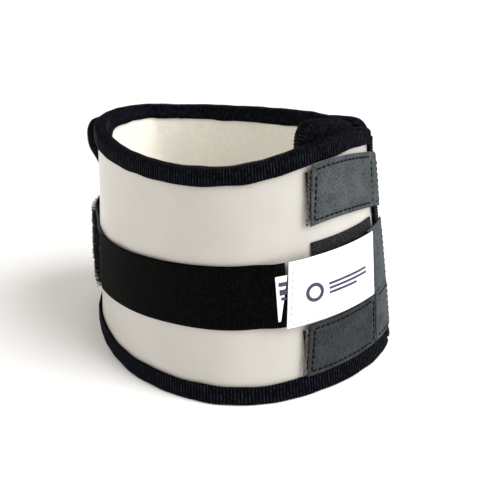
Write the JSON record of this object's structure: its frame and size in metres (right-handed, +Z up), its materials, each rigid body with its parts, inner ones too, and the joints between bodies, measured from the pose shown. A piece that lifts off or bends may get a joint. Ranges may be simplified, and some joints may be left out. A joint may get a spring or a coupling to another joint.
{
  "type": "ankle foot orthosis cuff",
  "caption": "Foam-lined wrap-around orthosis cuff with a hinged front panel, an outer rear shell, a strap with a labelled tail, and closing tabs.",
  "frame": {"origin": "on the floor, under the middle of the cuff", "axes": "+Z up along the limb, -Y to the front panel, +X to the end of the front panel that closes"},
  "size_m": [0.135, 0.1472, 0.1028],
  "materials": {
    "shell_plastic": "milky translucent polyethylene, satin",
    "lining_foam": "cream closed-cell foam with a soft face",
    "binding_tape": "ribbed grosgrain tape, near black",
    "webbing": "black woven webbing",
    "hook": "black hook tape",
    "loop_pile": "charcoal loop pile",
    "grey_cloth": "dark grey brushed cloth with a stitched edge",
    "label_cloth": "white satin label"
  },
  "bodies": {
    "rear_wrap": {"wrap_shell": "shell_plastic", "wrap_foam": "lining_foam", "wrap_binding": "binding_tape", "rear_shell": "shell_plastic", "rear_foam": "lining_foam", "rear_binding": "binding_tape", "rear_strap": "webbing", "hook_tape": "hook"},
    "front_panel": {"front_shell": "shell_plastic", "front_foam": "lining_foam", "front_binding": "binding_tape", "front_strap": "webbing", "size_tag": "label_cloth", "loop_patch": "loop_pile", "end_strip": "grey_cloth", "upper_tab_seam": "grey_cloth", "lower_tab_seam": "grey_cloth"},
    "strap_tail": {"strap_tail": "webbing", "tail_hook": "hook", "label": "label_cloth"},
    "upper_tab": {"upper_tab_cloth": "grey_cloth", "upper_tab_hook": "hook"},
    "lower_tab": {"lower_tab_cloth": "grey_cloth", "lower_tab_hook": "hook"}
  },
  "joints": [
    {"name": "front_opening", "type": "hinge", "parent": "rear_wrap", "child": "front_panel", "pos_m": [-0.04888, -0.03077, 0.046], "axis": [-0.0787, -0.0455, -0.9959], "range_deg": [0, 50]},
    {"name": "strap_peel", "type": "hinge", "parent": "front_panel", "child": "strap_tail", "pos_m": [0.02196, -0.07036, 0.043], "axis": [0.0293, -0.0861, -0.9959], "range_deg": [0, 80]},
    {"name": "upper_tab_peel", "type": "hinge", "parent": "front_panel", "child": "upper_tab", "pos_m": [0.0588, -0.03289, 0.076], "axis": [-0.0813, 0.0407, 0.9959], "range_deg": [0, 80]},
    {"name": "lower_tab_peel", "type": "hinge", "parent": "front_panel", "child": "lower_tab", "pos_m": [0.05897, -0.04249, 0.02], "axis": [-0.0744, 0.0523, 0.9959], "range_deg": [0, 80]}
  ]
}
